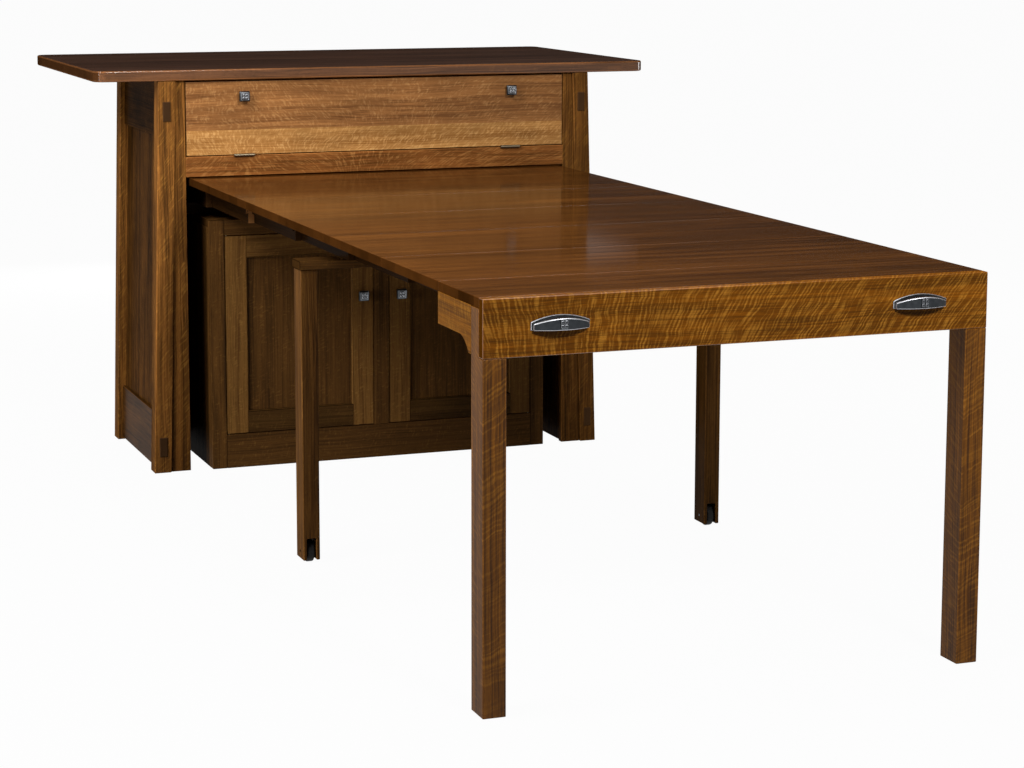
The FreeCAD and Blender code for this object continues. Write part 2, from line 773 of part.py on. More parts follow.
def make_slides():
    save("slide_fixed", both_sides(slide_bar(0)))
    for number in range(1, slide_count + 1):
        save("slide_bar_" + str(number), both_sides(slide_bar(number)))
    bearers = []
    last = slide_setback + slide_length - bearer_end_margin - bearer_width
    for start in (bearer_first, last):
        y = (start, start + bearer_width)
        bearers.append(box((-opening_half, opening_half), y, (cabinet_height, slide_bottom)))
    save("slide_bearers", bearers)


make_top_slab()
make_posts()
make_sides()
make_back()
make_front()
make_flap()
make_flap_hinges()
make_cabinet()
make_cabinet_frame()
make_door_pivots()
make_doors()
make_apron()
make_front_legs()
make_brackets()
make_table_top()
make_mid_frame()
make_slides()
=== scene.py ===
import math

import bmesh
import bpy
from mathutils import Matrix, Vector


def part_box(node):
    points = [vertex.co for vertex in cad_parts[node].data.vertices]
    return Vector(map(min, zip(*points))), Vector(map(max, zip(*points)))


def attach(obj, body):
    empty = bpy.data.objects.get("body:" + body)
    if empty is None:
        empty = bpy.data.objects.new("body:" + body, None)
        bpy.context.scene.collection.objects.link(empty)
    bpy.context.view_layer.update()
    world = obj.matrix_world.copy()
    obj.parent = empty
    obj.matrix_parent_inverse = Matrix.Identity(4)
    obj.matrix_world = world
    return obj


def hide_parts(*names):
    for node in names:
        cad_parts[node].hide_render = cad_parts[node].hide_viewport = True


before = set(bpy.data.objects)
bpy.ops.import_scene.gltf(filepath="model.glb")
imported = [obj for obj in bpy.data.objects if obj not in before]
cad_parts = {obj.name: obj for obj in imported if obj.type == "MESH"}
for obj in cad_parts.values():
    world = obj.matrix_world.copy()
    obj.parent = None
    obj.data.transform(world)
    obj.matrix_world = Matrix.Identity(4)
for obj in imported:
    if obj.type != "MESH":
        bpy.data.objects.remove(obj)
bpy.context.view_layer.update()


# Corner posts. Solid white oak, 44 by 48 mm, sawn so that the ray flecks show on every face. They lean out
# towards the floor, which gives the case its splay. Dark blocks stand 2.5 mm proud of the front and back
# faces: the ends of the side rails' through tenons, chamfered and stained with the rest.
scene = bpy.context.scene
mm = 0.001
X, Y, Z = 0, 1, 2


def linear(code):
    """Linear colour from an sRGB hex value."""
    parts = [int(code[place:place + 2], 16) / 255 for place in (1, 3, 5)]
    return [part / 12.92 if part <= 0.04045 else ((part + 0.055) / 1.055) ** 2.4 for part in parts] + [1.0]


def add(tree, kind, inputs, **settings):
    """Adds a shader node with its settings. An input is a value, a socket, or a node for its first output."""
    node = tree.nodes.new("ShaderNode" + kind)
    for name, value in settings.items():
        setattr(node, name, value)
    for name, value in inputs.items():
        if isinstance(value, bpy.types.Node):
            value = value.outputs[0]
        if isinstance(value, bpy.types.NodeSocket):
            tree.links.new(value, node.inputs[name])
        else:
            node.inputs[name].default_value = value
    return node


def new_finish(name):
    """A new material, and its node tree, still empty."""
    material = bpy.data.materials.new(name)
    material.use_nodes = True
    material.node_tree.nodes.clear()
    return material, material.node_tree


def patches(tree, place, length, width, detail, rough=0.5):
    """Cloudy noise, with patches of a length and a width in mm."""
    room = add(tree, "VectorMath", {0: place, 1: (1000 / length, 1000 / width, 1000 / width)},
               operation="MULTIPLY")
    return add(tree, "TexNoise", {"Vector": room, "Scale": 1.0, "Detail": detail, "Roughness": rough})


def oak(name, dark, middle, light, fleck=0.3, lean=((0.0, 0.3), (1.0, 0.3)), spacing=11.0, ray_length=34.0,
        ray_height=40.0, figure=0.15, cover=0.50, soft=0.14, order=0.0, swirl=4.5, stave=0.0, joint=0.0,
        contrast=1.0, edge_light_and_wear=0.4, coat=0.08, coat_rough=0.28, polish=0.0, end_tone=-0.40):
    """Quarter-sawn white oak under a brown wiping stain and satin varnish.

    The eye sees straight fine growth lines and dark open pores along the board, and across them lighter ray
    flecks in flame shapes. Stain rubs thin on eased edges, which also carry a painted highlight, and soaks in
    dark on end grain. Spacing, ray length, ray height and stave are in mm. Lean is pairs: a share of the
    board's length, and the flecks' slope there. Fleck is how pale they are, figure and cover how many, soft
    their edge, order how even, and swirl how far they swing. Joint says how much darker glue joints are, and
    end tone how much lighter end grain. Edge light and wear says how much lighter eased edges are, from stain
    rubbed thin and a painted highlight, and below zero how much darker, as painted shade in the gaps beside
    them. Coat is the varnish's weight, and polish what eased edges have more.
    """
    material, tree = new_finish(name)
    straight = add(tree, "Attribute", {}, attribute_name="grain").outputs["Vector"]
    board_tone, eased, end, length_share, aside_middle = [
        add(tree, "Attribute", {}, attribute_name=title).outputs["Fac"]
        for title in ("tone", "eased", "end_grain", "length_share", "from_middle")]

    # the tree didn't grow straight: the grain drifts some 9 mm aside over 300 mm of board
    drift = patches(tree, straight, 300, 140, 1.0)
    aside = add(tree, "VectorMath", {0: drift.outputs["Color"], 1: (0.0, 18 * mm, 18 * mm)},
                operation="MULTIPLY")
    grain = add(tree, "VectorMath", {0: straight, 1: aside}, operation="ADD").outputs[0]
    along, across = add(tree, "SeparateXYZ", {0: grain}).outputs[:2]

    # growth lines: real ones are 1.5 mm apart, drawn 3 mm so that they show, in bands of some 22 mm
    lines = patches(tree, grain, 420, 3.0, 3.0, 0.65)
    bands = patches(tree, grain, 1100, 22, 2.0, 0.6)
    cloud = patches(tree, grain, 170, 75, 3.0)

    # open pores: real ones are 0.3 mm wide, drawn 1 mm wide so that they show, 14 mm long
    pore_field = patches(tree, grain, 14, 1.0, 1.0)
    pores = add(tree, "MapRange", {"Value": pore_field, "From Min": 0.58, "From Max": 0.70})

    # ray flecks: ribbons that lean over the board and swing by some 14 mm, ragged where they cross the growth
    # lines, and broken into lengths; the noise that draws them has one ribbon in some 1.7 of its units
    ribbon_room = 1.7
    slope = lean[0][1]
    for (share, amount), (next_share, next_amount) in zip(lean, lean[1:]):
        change = add(tree, "MapRange", {"Value": length_share, "From Min": share, "From Max": next_share,
                                        "To Max": next_amount - amount})
        slope = add(tree, "Math", {0: change, 1: slope}, operation="ADD")
    shift = add(tree, "Math", {0: aside_middle, 1: slope}, operation="MULTIPLY")
    walk = add(tree, "Math", {0: along, 1: shift}, operation="SUBTRACT")
    cycles = add(tree, "Math", {0: walk, 1: ribbon_room * 1000 / spacing}, operation="MULTIPLY")
    swing = patches(tree, grain, 95, 40, 3.0, 0.55)
    swung = add(tree, "Math", {0: swing, 1: swirl, 2: cycles}, operation="MULTIPLY_ADD")
    phase = add(tree, "Math", {0: lines, 1: 0.5, 2: swung}, operation="MULTIPLY_ADD")
    turning = add(tree, "Math", {0: across, 1: 1000 / ray_height}, operation="MULTIPLY")
    ray_room = add(tree, "CombineXYZ", {0: phase, 1: turning})
    rays = add(tree, "TexNoise", {"Vector": ray_room, "Scale": 1.0, "Detail": 1.5, "Roughness": 0.4})
    turn = add(tree, "Math", {0: phase, 1: 2 * math.pi / ribbon_room}, operation="MULTIPLY")
    beat = add(tree, "Math", {0: turn}, operation="SINE")
    striped = add(tree, "Math", {0: beat, 1: order, 2: rays}, operation="MULTIPLY_ADD")
    ribbon = add(tree, "MapRange", {"Value": striped, "From Min": cover, "From Max": cover + soft},
                 interpolation_type="SMOOTHSTEP")
    patch_field = patches(tree, grain, ray_length, 15, 3.0)
    patch = add(tree, "MapRange", {"Value": patch_field, "From Min": 0.62 - figure,
                                   "From Max": 0.80 - figure})
    cut = add(tree, "MapRange", {"Value": lines, "From Min": 0.40, "From Max": 0.56, "To Min": 0.45})
    long_grain = add(tree, "Math", {0: 1.0, 1: end}, operation="SUBTRACT").outputs[0]
    fleck_amount = ribbon
    for share in (patch, cut, long_grain, fleck):
        fleck_amount = add(tree, "Math", {0: fleck_amount, 1: share}, operation="MULTIPLY")

    # colour: stain dark in the lines and pores, pale on the flecks
    line_mix = add(tree, "Math", {0: lines, 1: 0.80}, operation="MULTIPLY")
    band_mix = add(tree, "Math", {0: bands, 1: 0.60, 2: line_mix}, operation="MULTIPLY_ADD")
    depth = add(tree, "MapRange", {"Value": band_mix, "From Min": 0.70 - 0.16 / contrast,
                                   "From Max": 0.70 + 0.16 / contrast})
    even = add(tree, "Math", {0: depth, 1: long_grain}, operation="MULTIPLY")
    plain = add(tree, "Math", {0: end, 1: 0.4, 2: even}, operation="MULTIPLY_ADD")
    ground = add(tree, "Mix", {0: plain, 6: linear(dark), 7: linear(middle)}, data_type="RGBA")
    figured = add(tree, "Mix", {0: fleck_amount, 6: ground.outputs[2], 7: linear(light)}, data_type="RGBA")
    pore_depth = add(tree, "Math", {0: pores, 1: 0.5}, operation="MULTIPLY")
    pored = add(tree, "Mix", {0: pore_depth, 6: figured.outputs[2], 7: linear(dark)}, data_type="RGBA")

    # tone: the board's own, which also holds painted light and shade, the cloudy stain, and where boards are
    # glued up, each stave's, with dark joints
    clouded = add(tree, "MapRange", {"Value": cloud, "From Min": 0.3, "From Max": 0.7,
                                     "To Min": 0.87, "To Max": 1.13})
    tone = add(tree, "Math", {0: clouded, 1: board_tone}, operation="ADD")
    if stave:
        level = add(tree, "SeparateXYZ", {0: straight}).outputs[1]
        place = add(tree, "Math", {0: level, 1: 1000 / stave}, operation="MULTIPLY")
        number = add(tree, "Math", {0: place}, operation="FLOOR")
        pick = add(tree, "TexWhiteNoise", {"W": number}, noise_dimensions="1D")
        stave_tone = add(tree, "MapRange", {"Value": pick, "To Min": -0.16, "To Max": 0.16})
        staved = add(tree, "Math", {0: tone, 1: stave_tone}, operation="ADD")
        share = add(tree, "Math", {0: place}, operation="FRACT")
        glue = add(tree, "Math", {0: share, 1: 1.6 / stave}, operation="LESS_THAN")
        tone = add(tree, "Math", {0: glue, 1: -joint, 2: staved}, operation="MULTIPLY_ADD")
    # eased edges: lighter where the stain rubs thin and as a painted highlight, or, where the setting is
    # below zero, darker as painted shade in the gaps beside them
    worn = add(tree, "Math", {0: eased, 1: edge_light_and_wear, 2: tone}, operation="MULTIPLY_ADD")
    soaked = add(tree, "Math", {0: end, 1: end_tone, 2: worn}, operation="MULTIPLY_ADD").outputs[0]
    shade = add(tree, "CombineXYZ", {0: soaked, 1: soaked, 2: soaked})
    stained = add(tree, "VectorMath", {0: pored.outputs[2], 1: shade}, operation="MULTIPLY")

    # relief: pores lie open under the varnish; there is no varnish where end grain drank it
    relief = add(tree, "Math", {0: pores, 1: -0.6, 2: lines}, operation="MULTIPLY_ADD")
    bump = add(tree, "Bump", {"Height": relief, "Distance": 0.12 * mm, "Strength": 0.4})
    dull = add(tree, "MapRange", {"Value": bands, "To Min": 0.30, "To Max": 0.44})
    sheen = add(tree, "Math", {0: fleck_amount, 1: -0.10, 2: dull}, operation="MULTIPLY_ADD")
    film = add(tree, "Math", {0: long_grain, 1: coat}, operation="MULTIPLY")
    thick = add(tree, "Math", {0: eased, 1: polish, 2: film}, operation="MULTIPLY_ADD")
    varnish = add(tree, "BsdfPrincipled", {
        "Base Color": stained, "Roughness": sheen, "Normal": bump,
        "IOR": 1.5, "Specular IOR Level": 0.0, "Coat Weight": thick, "Coat Roughness": coat_rough,
    })
    add(tree, "OutputMaterial", {"Surface": varnish})
    return material


# the case's stain reads as dark walnut brown with golden flecks; a tenon's end is near black and plain
case_stain = ("#3b240e", "#764b20", "#a37130")
case_flecks = {"lean": ((0.0, 0.9), (1.0, 1.4)), "spacing": 8.0, "ray_height": 28.0, "cover": 0.46,
               "soft": 0.26}
case_oak = oak("stained_oak_case", *case_stain, **case_flecks, fleck=0.36, figure=0.24, coat=0.03)
tenon_oak = oak("stained_oak_tenon_end", "#2a1a0e", "#45301d", "#4d3520", fleck=0.1, end_tone=0.0)
boards_made = []


def board(name, axis, outline, span, finish, body, node, ease=1.2, along=None, tone=0.0,
          slot="oak_dark_stain", glued_at=None):
    """One wooden board: an outline in mm, drawn out along an axis, with eased edges and its grain laid on.

    The outline's numbers are in the order X, Y, Z without the axis it is drawn along. The grain runs along
    the longest side unless another is named. Edges at the height of a glue joint stay sharp. Tone is how much
    lighter the board is than its finish, or a pair for its low and high end; it holds the board's own tone
    and also painted light and shade, for how the light falls on the board.
    """
    sketch = bmesh.new()
    rings = []
    for level in span:
        ring = []
        for first, second in outline:
            place = [first, second]
            place.insert(axis, level)
            ring.append(sketch.verts.new(Vector(place) * mm))
        rings.append(ring)
    sketch.faces.new(rings[0])
    sketch.faces.new(rings[1])
    for number in range(len(outline)):
        after = (number + 1) % len(outline)
        sketch.faces.new((rings[0][number], rings[0][after], rings[1][after], rings[1][number]))
    bmesh.ops.recalc_face_normals(sketch, faces=sketch.faces)
    sharp = [edge for edge in sketch.edges if edge.calc_face_angle() > 0.6 and not (
        glued_at and all(abs(vertex.co.z - glued_at * mm) < 1e-6 for vertex in edge.verts))]
    made = bmesh.ops.bevel(sketch, geom=sharp, offset=ease * mm, segments=3, profile=0.5, affect="EDGES",
                           clamp_overlap=True)
    sketch.faces.index_update()
    for edge in sketch.edges:
        edge.smooth = edge.calc_face_angle() < 0.7
    rounded = {face.index for face in made["faces"]}
    mesh = bpy.data.meshes.new(name)
    sketch.to_mesh(mesh)
    sketch.free()
    mesh.shade_smooth()

    # the grain's own room, and the marks that the finish is drawn by
    low, high = [[pick(vertex.co[side] for vertex in mesh.vertices) for side in (X, Y, Z)]
                 for pick in (min, max)]
    sizes = [high[side] - low[side] for side in (X, Y, Z)]
    if along is None:
        along = sizes.index(max(sizes))
    rest = sorted((side for side in (X, Y, Z) if side != along), key=lambda side: -sizes[side])
    count = len(boards_made)
    boards_made.append(name)
    shift = Vector((count * 3.71 % 7, count * 1.93 % 5, count * 0.87 % 3))
    low_tone, high_tone = tone if isinstance(tone, tuple) else (tone, tone)
    marks = mesh.attributes
    marks.new("grain", "FLOAT_VECTOR", "POINT")
    for title in ("length_share", "from_middle", "tone"):
        marks.new(title, "FLOAT", "POINT")
    for title in ("eased", "end_grain"):
        marks.new(title, "FLOAT", "FACE")
    for vertex in mesh.vertices:
        share = (vertex.co[along] - low[along]) / sizes[along]
        aside = sum(vertex.co[side] - (low[side] + high[side]) / 2 for side in rest)
        room = Vector([vertex.co[side] for side in [along] + rest]) + shift
        marks["grain"].data[vertex.index].vector = room
        marks["length_share"].data[vertex.index].value = share
        marks["from_middle"].data[vertex.index].value = aside
        marks["tone"].data[vertex.index].value = low_tone * (1 - share) + high_tone * share
    for face in mesh.polygons:
        marks["eased"].data[face.index].value = 1.0 if face.index in rounded else 0.0
        marks["end_grain"].data[face.index].value = 1.0 if abs(face.normal[along]) > 0.5 else 0.0
    mesh.materials.append(finish)
    piece = bpy.data.objects.new(name, mesh)
    scene.collection.objects.link(piece)
    piece.modifiers.new("flat faces", "WEIGHTED_NORMAL").keep_sharp = True
    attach(piece, body)
    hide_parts(node)
    return piece


def extent(node, axis):
    """Where a CAD node begins and ends along an axis, in mm, as the frame has it."""
    # adding zero turns a minus zero into a plain one
    return [round(corner[axis] / mm, 3) + 0.0 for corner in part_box(node)]


def rectangle(first, second):
    """Outline of a rectangle, from where it begins and ends in two directions."""
    return [(first[0], second[0]), (first[1], second[0]), (first[1], second[1]), (first[0], second[1])]


sides = {"left": -1, "right": 1}
post_wide = 44.0
post_in, foot_out = extent("front_post_right", X)
case_top = extent("front_post_right", Z)[1]
lean_out = foot_out - post_wide - post_in


def inner_face(level):
    """How far a post's inner face is from the middle at a height."""
    return post_in + lean_out * (1 - level / case_top)


def leaning(side, low, high, near, far):
    """Outline between two heights of a board that leans with the posts, near to far from their inner face."""
    points = [(inner_face(low) + near, low), (inner_face(low) + far, low), (inner_face(high) + far, high),
              (inner_face(high) + near, high)]
    return [(side * x, z) for x, z in points]


# painted light and shade: the left posts lighten towards the top, and the right posts are darker all over,
# most towards the floor, where the table shades them
post_tones = {"left": (-0.10, 0.40), "right": (-0.50, -0.32)}
tenon_wide, tenon_tall, tenon_sunk = 20.0, 50.0, 2.0
tenon_ends = extent("through_tenons", Y)
tenon_levels = {"lower": extent("through_tenons", Z)[0] + tenon_tall / 2,
                "upper": extent("through_tenons", Z)[1] - tenon_tall / 2}
for word, side in sides.items():
    for place, end, inward in (("front", 0, 1), ("back", 1, -1)):
        post = f"{place}_post_{word}"
        depth = extent(post, Y)
        board(post + "_oak", Y, leaning(side, 0, case_top, 0, post_wide), depth, case_oak, "case", post,
              ease=2.0, tone=post_tones[word])
        for part, level in tenon_levels.items():
            middle = side * (inner_face(level) + post_wide / 2)
            outline = rectangle((middle - tenon_wide / 2, middle + tenon_wide / 2),
                                (level - tenon_tall / 2, level + tenon_tall / 2))
            board(f"tenon_{part}_{place}_{word}", Y, outline,
                  sorted((depth[end] + inward * tenon_sunk, tenon_ends[end])), tenon_oak, "case",
                  "through_tenons", ease=1.5, along=Y)


# Side frames and back frame. Oak rails tenoned into the posts hold flat oak panels in grooves, free to move
# with the seasons. The panels' grain stands upright; the rails' runs level. Oak linings inside the frames
# face the store and the cabinet. The low side rails' varnish is thicker and mirrors the floor as a grey veil.
low_rail_oak = oak("stained_oak_low_rail", *case_stain, **case_flecks, fleck=0.3, figure=0.2, coat=0.14)
rail_depth, panel_depth, groove = (12.0, 32.0), (15.0, 23.0), 8.0
opening = extent("front_rail", X)[1]


def beside(side, near, far):
    """From where to where a board reaches on one side of the middle."""
    return sorted((side * near, side * far))


def plank(name, axis, finish, body, node, cut=None, **more):
    """A board that fills its CAD node's box, or reaches only as far as the cut says along an axis."""
    reach = [(cut or {}).get(side) or extent(node, side) for side in (X, Y, Z)]
    span = reach.pop(axis)
    board(name, axis, rectangle(*reach), span, finish, body, node, **more)


# painted shade: the side rails and panels are darkened, the top rail most, as the shade under the slab's
# overhang
for word, side in sides.items():
    for name, finish, depth, ease, tone in (("side_bottom_rail", low_rail_oak, rail_depth, 1.2, -0.56),
                                            ("side_top_rail", case_oak, rail_depth, 1.2, -0.7),
                                            ("side_panel", case_oak, panel_depth, 0.5, -0.56)):
        node = name + "s"
        board(f"{name}_{word}", Y, leaning(side, *extent(node, Z), *depth), extent(node, Y), finish, "case",
              node, ease=ease, tone=tone)
    plank("side_liner_" + word, X, case_oak, "case", "side_liners",
          {X: beside(side, opening, extent("side_liners", X)[1])}, ease=0.6, tone=-0.1)
back_foot, back_head = extent("back_frame", Z)
panel_low, panel_high = extent("back_panels", Z)
rail_over, rail_under = panel_low + groove, panel_high - groove
for part, low, high in (("bottom", back_foot, rail_over), ("top", rail_under, back_head)):
    outline = [(-inner_face(low), low), (inner_face(low), low), (inner_face(high), high),
               (-inner_face(high), high)]
    board(f"back_{part}_rail", Y, outline, extent("back_frame", Y), case_oak, "case", "back_frame")
mullion_half = 45.0
plank("back_mullion", Y, case_oak, "case", "back_frame",
      {X: (-mullion_half, mullion_half), Z: (rail_over, rail_under)})
for word, side in sides.items():
    inner = side * (mullion_half - groove)
    outline = [(inner, panel_low), (side * (inner_face(panel_low) + groove), panel_low),
               (side * (inner_face(panel_high) + groove), panel_high), (inner, panel_high)]
    board("back_panel_" + word, Y, outline, extent("back_panels", Y), case_oak, "case", "back_panels",
          ease=0.5, tone=-0.2)


# Face frame and leaf store. Wedge-shaped oak stiles fill the splay between the posts and the straight
# opening, and a rail under the flap ties them. Behind it lie the store's floor and, on top, two stretchers
# that the slab is screwed to. The rail is a lively quarter-sawn board, lighter than the posts.
rail_oak = oak("stained_oak_figured_rail", "#4f2e12", "#875226", "#b58147", fleck=0.4,
               lean=((0.0, 1.8), (0.3, -1.8), (0.6, 1.5), (1.0, 3.0)), spacing=10.0, ray_height=18.0,
               figure=0.30, cover=0.45, soft=0.22, swirl=7.0, coat=0.08)
# painted light and shade: the left stile is darker at its foot and lighter at its top, and the right one is
# darker, most at its foot
stile_tones = {"left": (-0.42, 0.44), "right": (-0.56, -0.10)}
for word, side in sides.items():
    node = "front_stile_" + word
    outline = [(side * opening, 0), (side * inner_face(0), 0), (side * inner_face(case_top), case_top),
               (side * opening, case_top)]
    board("front_stile_oak_" + word, Y, outline, extent(node, Y), case_oak, "case", node,
          tone=stile_tones[word])
# painted shade: the rail darkens towards its right end, as the light falls off from the left
plank("front_rail_oak", Y, rail_oak, "case", "front_rail", ease=1.5, tone=(0.02, -0.30),
      slot="oak_golden_stain")
plank("store_floor_oak", Z, case_oak, "case", "store_floor", ease=0.5)


def front_and_back(name, width, finish, node, **more):
    """Two planks of a width, one at each end of their node's box."""
    near, far = extent(node, Y)
    for place, start in (("front", near), ("back", far - width)):
        plank(f"{place}_{name}", Z, finish, "case", node, {Y: (start, start + width)}, **more)


front_and_back("stretcher", 60.0, case_oak, "slab_stretchers")


# Cabinet. A plain oak box stands on the floor inside the case: sides, top, bottom and one shelf behind a face
# frame of two stiles, two rails and a middle stile, glued flush. It is the darkest wood of the piece, as it
# took the most stain, and it stands in the table's shade. Its eased edges are darkened as painted shade along
# the gaps round the doors.
short_flecks = {"spacing": 8.0, "ray_height": 14.0, "soft": 0.2, "figure": 0.2, "contrast": 0.7, "coat": 0.04}
cabinet_oak = oak("stained_oak_cabinet", "#2e1d0c", "#5b3c1b", "#815a2b", **short_flecks, fleck=0.28,
                  edge_light_and_wear=-0.35)
cabinet_half = extent("cabinet_stiles", X)[1]
for word, side in sides.items():
    plank("cabinet_side_" + word, X, cabinet_oak, "case", "cabinet_sides",
          {X: beside(side, extent("cabinet_bottom", X)[1], cabinet_half)}, ease=0.6)
    plank("cabinet_stile_" + word, Y, cabinet_oak, "case", "cabinet_stiles",
          {X: beside(side, extent("cabinet_rails", X)[1], cabinet_half)}, ease=1.5)
for name, node, ease in (("top", "cabinet_top", 0.6), ("floor", "cabinet_bottom", 0.6),
                         ("shelf", "cabinet_shelf", 1.0)):
    plank(f"cabinet_{name}_board", Z, cabinet_oak, "case", node, ease=ease)
plank("cabinet_middle_stile", Y, cabinet_oak, "case", "cabinet_mullion", ease=0.8, tone=0.12)
base_over, head_under = extent("cabinet_mullion", Z)
cabinet_foot, cabinet_head = extent("cabinet_rails", Z)
for part, low, high, tone in (("base", cabinet_foot, base_over, -0.05),
                              ("top", head_under, cabinet_head, 0.0)):
    plank(f"cabinet_{part}_rail", Y, cabinet_oak, "case", "cabinet_rails", {Z: (low, high)}, ease=0.8,
          tone=tone)


# Doors. Each is a frame of two stiles and two rails, coped and glued, with a 3 mm bevel round the opening and
# a flat oak panel in a groove 7 mm back. The frames took less stain than the panels and look more golden.
# the door frames' eased edges are darkened as painted shadow in the gaps and along the bevels
door_oak = oak("stained_oak_door", "#432a12", "#745127", "#976f37", **short_flecks, fleck=0.3, edge_light_and_wear=-0.6)
member, bevel = 59.0, 3.0
door_front, door_back = extent("right_door_frame", Y)
door_low, door_high = extent("right_door_frame", Z)
door_near, door_far = extent("right_door_frame", X)


def door_member(name, body, node, axis, edges, span, tone, inward):
    """Stile or rail with its bevel on the side that faces the panel, where inward is 1 or -1."""
    outer, inner = edges
    outline = [(outer, door_front), (inner - inward * bevel, door_front), (inner, door_front + bevel),
               (inner, door_back), (outer, door_back)]
    if axis == X:
        outline = [(depth, level) for level, depth in outline]
    board(name, axis, outline, span, door_oak, body, node, ease=0.7, tone=tone)


for word, side in sides.items():
    body, node = word + "_door", word + "_door_frame"
    # painted shade: the right door's members are darker than the left's, as it gets less light, and the
    # bottom rails are darkest
    right_door_shade = 0.10 if side > 0 else 0.0
    for part, outer, inner, tone, inward in (("outer", door_far, door_far - member, 0.10, -side),
                                             ("inner", door_near, door_near + member, 0.14, side)):
        door_member(f"{body}_{part}_stile", body, node, Z, (side * outer, side * inner),
                    (door_low, door_high), tone - right_door_shade, inward)
    between = beside(side, door_near + member - bevel, door_far - member + bevel)
    door_member(body + "_bottom_rail", body, node, X, (door_low, door_low + member), between,
                -0.6 - right_door_shade / 4, 1)
    door_member(body + "_top_rail", body, node, X, (door_high, door_high - member), between, -0.1, -1)
    plank(body + "_panel_oak", Y, cabinet_oak, body, body + "_panel", ease=0.5, tone=0.02)


# Fall flap. Two quarter-sawn oak boards glued edge to edge, the lower one clearly paler, with a silky curl of
# flecks, close the leaf store. The flap turns down on two butt hinges let into its lower edge, and rests shut
# by its own weight.
# the flap's eased edges are darkened as painted shadow in the gap round it
curled_flecks = {"spacing": 9.0, "ray_length": 30.0, "ray_height": 15.0, "cover": 0.44, "soft": 0.24,
                 "swirl": 8.0, "edge_light_and_wear": -0.6, "coat": 0.12}
flap_oak = oak("stained_oak_flap_upper", "#55331a", "#98673a", "#bd8f5a", **curled_flecks, fleck=0.36,
               lean=((0.0, 0.3), (0.3, -0.9), (0.7, 0.8), (1.0, 1.4)), figure=0.24, contrast=0.7)
flap_light_oak = oak("stained_oak_flap_lower", "#815326", "#b9864c", "#dcab6c", **curled_flecks, fleck=0.5,
                     lean=((0.0, -0.6), (0.4, 0.8), (1.0, 1.1)), figure=0.34, contrast=0.8)
flap_low, flap_high = extent("flap_boards", Z)
flap_joint = 883.0
# painted shade: both boards darken towards their right ends, as the light falls off from the left
for part, finish, low, high, tone in (("upper", flap_oak, flap_joint, flap_high, (0.05, -0.33)),
                                      ("lower", flap_light_oak, flap_low, flap_joint, (-0.03, -0.43))):
    plank(f"flap_{part}_board", Y, finish, "fall_flap", "flap_boards", {Z: (low, high)}, ease=1.0, tone=tone,
          slot="oak_golden_stain", glued_at=flap_joint)


# Slides. Seven maple bars at each side, tongue in groove, draw out one after another. They are nearly
# black, only one pair was cut to length later and shows a pale end. The fixed bars lie on two bearers.
slide_wood, bare_end_wood = [
    oak(name, "#190e06", "#2f1c0a", "#3a2612", fleck=0.05, coat=0.04, end_tone=end_tone)
    for name, end_tone in (("near_black_maple_slides", 1.0), ("maple_slide_with_bare_end", 12.0))]
bar_thick, bar_pitch, last_bar, bare_bar = 15.0, 16.0, 6, 1
first_outer = extent("slide_fixed", X)[1]
bar_low, bar_high = extent("slide_fixed", Z)
bar_middle = (bar_low + bar_high) / 2
tongue_out, tongue_neck, tongue_tip = 6.0, 5.0, 7.5
groove_in, groove_neck, groove_floor = 5.3, 5.7, 7.8


def slide_outline(side, number):
    """Section of a bar: dovetail tongue on its outer side, groove for the next one on its inner side."""
    outer = first_outer - bar_pitch * number
    inner = outer - bar_thick
    points = [(inner, bar_low), (outer, bar_low)]
    if number:
        points += [(outer, bar_middle - tongue_neck), (outer + tongue_out, bar_middle - tongue_tip),
                   (outer + tongue_out, bar_middle + tongue_tip), (outer, bar_middle + tongue_neck)]
    points += [(outer, bar_high), (inner, bar_high)]
    if number < last_bar:
        points += [(inner, bar_middle + groove_neck), (inner + groove_in, bar_middle + groove_floor),
                   (inner + groove_in, bar_middle - groove_floor), (inner, bar_middle - groove_neck)]
    return [(side * x, z) for x, z in points]


bar_start, bar_end = extent("slide_fixed", Y)
apron_face, apron_back = extent("apron", Y)
slide_bodies = ["case", "bars_1", "bars_2", "mid_frame", "bars_4", "bars_5", "table_end"]
for number, body in enumerate(slide_bodies):
    front = bar_start + apron_face / last_bar * number
    node = "slide_bar_" + str(number) if number else "slide_fixed"
    for word, side in sides.items():
        board(f"slide_{number}_{word}", Y, slide_outline(side, number), (front, front + bar_end - bar_start),
              bare_end_wood if number == bare_bar else slide_wood, body, node, ease=0.5,
              slot="plain_hardwood")
front_and_back("slide_bearer", 40.0, slide_wood, "slide_bearers", slot="plain_hardwood")


# Rolling legs. A flat crossbar on two legs carries the slides half way and rolls along with them. The legs
# are slotted at the foot for a wheel on a steel axle, and their flecks are few and far apart. A pad on the
# crossbar meets the middle bar of each side's slides.
rolling_leg_oak = oak("stained_oak_rolling_legs", "#2e1b0a", "#62401b", "#886030", fleck=0.22,
                      lean=((0.0, 1.0), (1.0, 1.4)), spacing=15.0, figure=0.08, coat=0.05)
pad_high, middle_bar = 3.0, 3
crossbar_low, pads_top = extent("crossbar", Z)
plank("crossbar_oak", Z, cabinet_oak, "mid_frame", "crossbar", {Z: (crossbar_low, pads_top - pad_high)},
      ease=2.0)
pad_out = first_outer - bar_pitch * middle_bar
leg_in, leg_out = extent("mid_leg_right", X)
leg_foot, leg_head = extent("mid_leg_right", Z)
cheek, slot_top = 8.0, 57.0
